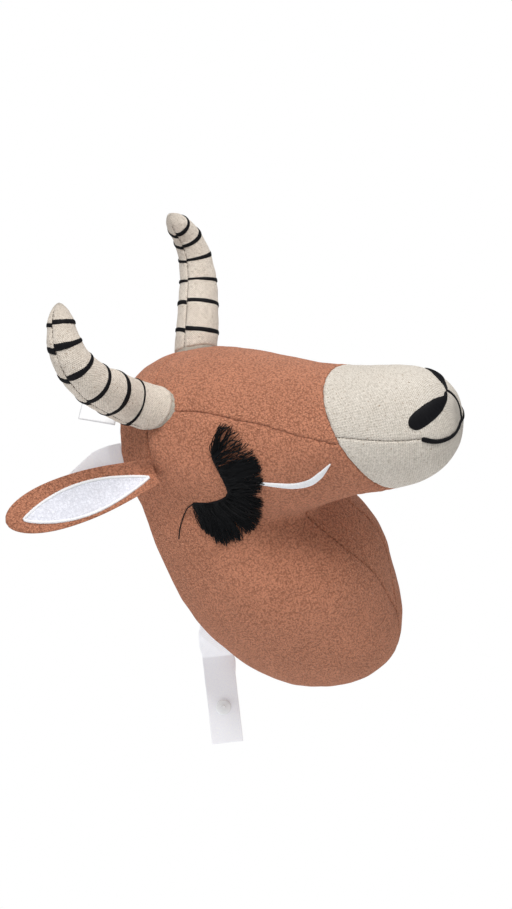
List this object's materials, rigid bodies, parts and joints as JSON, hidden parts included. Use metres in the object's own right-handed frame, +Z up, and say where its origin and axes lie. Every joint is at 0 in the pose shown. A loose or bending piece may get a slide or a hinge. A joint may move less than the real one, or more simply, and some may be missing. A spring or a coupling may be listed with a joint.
{
  "type": "stuffed felt antelope head",
  "caption": "Stuffed felt antelope head for a wall, with striped linen horns, linen muzzle, floppy ears, thread eyelashes and two snap tapes at the flat back.",
  "frame": {"origin": "on the flat back's outer face, in the middle plane, about half way up the back", "axes": "-Y forward, out of the wall and towards the nose; +Z up; +X towards the animal's left"},
  "size_m": [0.2821, 0.2949, 0.4183],
  "materials": {
    "felt": "boiled wool felt with a short nap",
    "linen": "natural plain-weave linen",
    "black_thread": "black embroidery thread",
    "white_felt": "white wool felt",
    "white_thread": "white satin stitch",
    "tape": "white herringbone twill tape",
    "snap_plastic": "translucent moulded plastic",
    "filling": "polyester fibre",
    "board": "grey-brown pressed board",
    "label": "blank woven satin label"
  },
  "bodies": {
    "root": {"crown_panel": "felt", "nape_panel": "felt", "right_cheek_panel": "felt", "left_cheek_panel": "felt", "throat_gusset": "felt", "muzzle_top": "linen", "muzzle_bottom": "linen", "back_panel": "felt", "stiffener_board": "board", "fibre_filling": "filling", "right_nostril": "black_thread", "left_nostril": "black_thread", "philtrum_line": "black_thread", "mouth_line": "black_thread", "right_cheek_stripe": "white_thread", "left_cheek_stripe": "white_thread", "right_lash_band": "black_thread", "left_lash_band": "black_thread", "left_horn_front": "linen", "left_horn_back": "linen", "left_horn_filling": "filling", "left_horn_stripes": "black_thread", "right_horn_front": "linen", "right_horn_back": "linen", "right_horn_filling": "filling", "right_horn_stripes": "black_thread"},
    "right_ear": {"right_ear_back": "felt", "right_ear_front": "felt", "right_ear_lining": "white_felt", "right_ear_border": "white_thread"},
    "left_ear": {"left_ear_back": "felt", "left_ear_front": "felt", "left_ear_lining": "white_felt", "left_ear_border": "white_thread"},
    "right_lash": {"right_lash_fringe": "black_thread"},
    "left_lash": {"left_lash_fringe": "black_thread"},
    "lower_tape": {"lower_tape": "tape", "stud_post": "snap_plastic", "stud_cap": "snap_plastic"},
    "upper_tape": {"upper_tape": "tape", "stud_socket": "snap_plastic", "socket_cap": "snap_plastic"},
    "label": {"care_label": "label"}
  },
  "joints": [
    {"name": "right_ear_swing", "type": "hinge", "parent": "root", "child": "right_ear", "pos_m": [-0.071, -0.033, 0.084], "axis": [0, 0, 1], "range_deg": [-5, 80]},
    {"name": "left_ear_swing", "type": "hinge", "parent": "root", "child": "left_ear", "pos_m": [0.071, -0.033, 0.084], "axis": [0, 0, 1], "range_deg": [-80, 2]},
    {"name": "right_lash_lift", "type": "hinge", "parent": "root", "child": "right_lash", "pos_m": [-0.066, -0.066, 0.073], "axis": [0, 0.6419, -0.7668], "range_deg": [0, 40]},
    {"name": "left_lash_lift", "type": "hinge", "parent": "root", "child": "left_lash", "pos_m": [0.066, -0.066, 0.073], "axis": [0, -0.6419, 0.7668], "range_deg": [0, 40]},
    {"name": "lower_tape_swing", "type": "hinge", "parent": "root", "child": "lower_tape", "pos_m": [-0.0573, -0.0002, -0.0804], "axis": [0.355, 0, -0.9349], "range_deg": [-30, 15]},
    {"name": "upper_tape_swing", "type": "hinge", "parent": "root", "child": "upper_tape", "pos_m": [-0.0618, -0.0002, 0.094], "axis": [0.3487, 0, 0.9372], "range_deg": [-55, 5]},
    {"name": "label_swing", "type": "hinge", "parent": "root", "child": "label", "pos_m": [-0.0387, 0.0003, 0.1248], "axis": [0.8118, 0, 0.5839], "range_deg": [-50, 20]}
  ]
}
